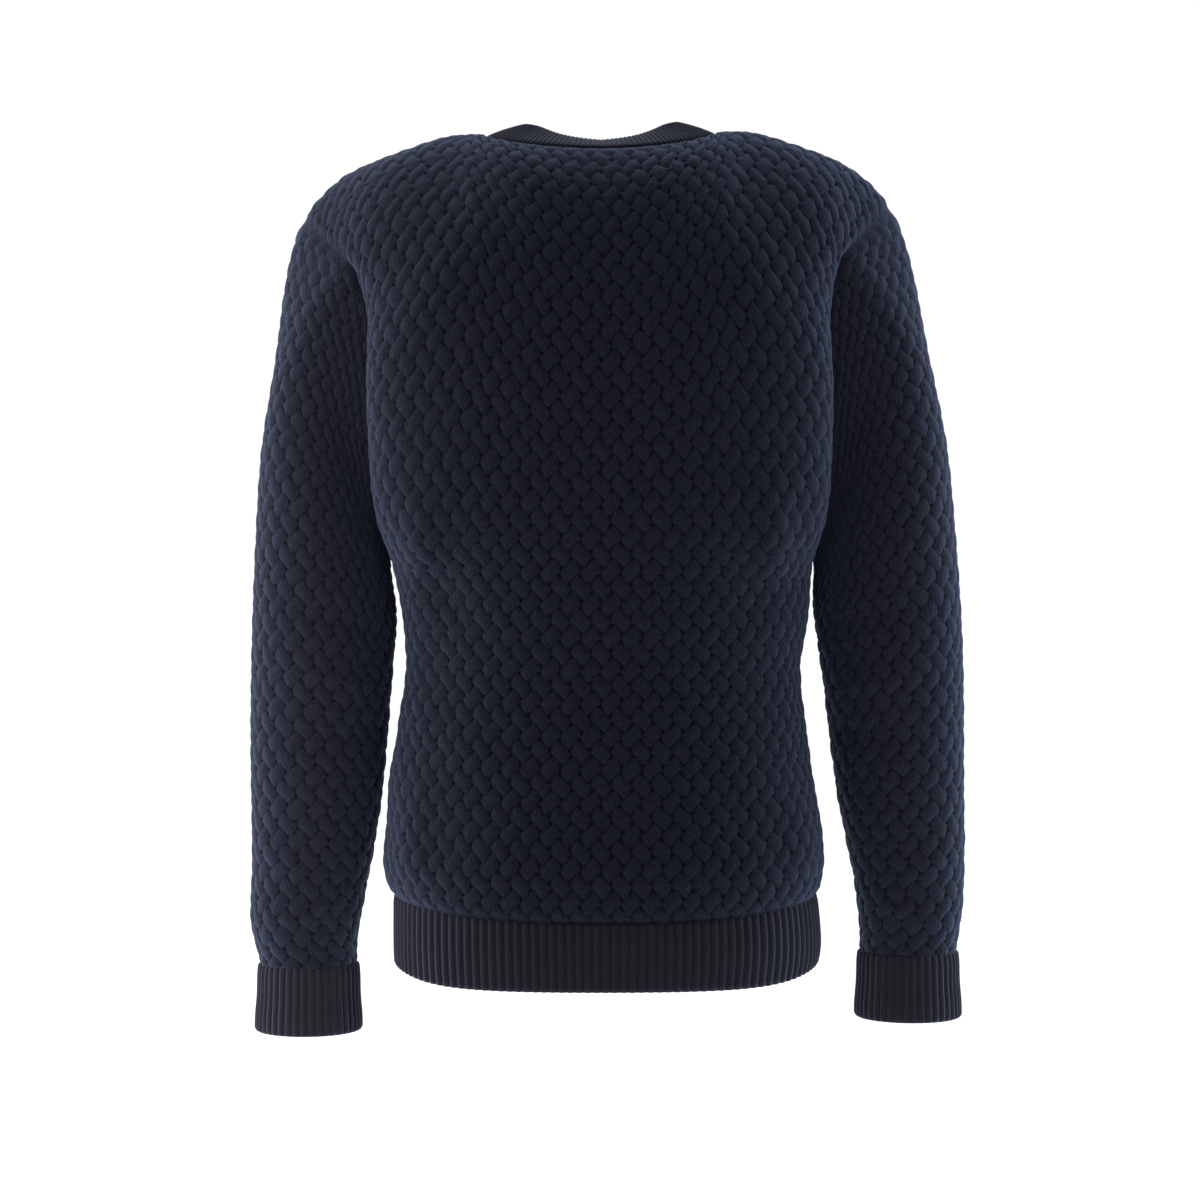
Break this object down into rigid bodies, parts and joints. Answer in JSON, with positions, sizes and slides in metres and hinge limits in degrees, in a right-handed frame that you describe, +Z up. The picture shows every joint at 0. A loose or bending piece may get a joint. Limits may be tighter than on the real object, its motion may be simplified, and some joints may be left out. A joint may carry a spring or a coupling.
{
  "type": "cardigan",
  "caption": "Long-sleeved cabled knit cardigan in its worn form, with a V neck, buttoned front, ribbed hem and turned-back ribbed cuffs.",
  "frame": {"origin": "midway between the two points where the neck seam meets the shoulder seams, where the wearer's shoulders carry the garment", "axes": "+Z up, the front faces -Y and the back +Y, +X towards the wearer's left"},
  "size_m": [0.58, 0.2558, 0.7338],
  "materials": {
    "navy_basket_knit": "matte cabled wool knit",
    "navy_rib": "matte ribbed wool knit",
    "navy_fine_rib": "matte fine ribbed wool knit",
    "dark_horn": "satin dark horn"
  },
  "bodies": {
    "root": {"back": "navy_basket_knit", "left_front": "navy_basket_knit", "right_front": "navy_basket_knit", "left_sleeve": "navy_basket_knit", "right_sleeve": "navy_basket_knit", "back_hem": "navy_rib", "left_hem": "navy_rib", "right_hem": "navy_rib", "left_cuff": "navy_rib", "right_cuff": "navy_rib", "neckband": "navy_fine_rib", "left_band": "navy_fine_rib", "right_band": "navy_fine_rib", "button_1": "dark_horn", "button_2": "dark_horn", "button_3": "dark_horn", "button_4": "dark_horn", "button_5": "dark_horn", "button_6": "dark_horn"}
  },
  "joints": []
}
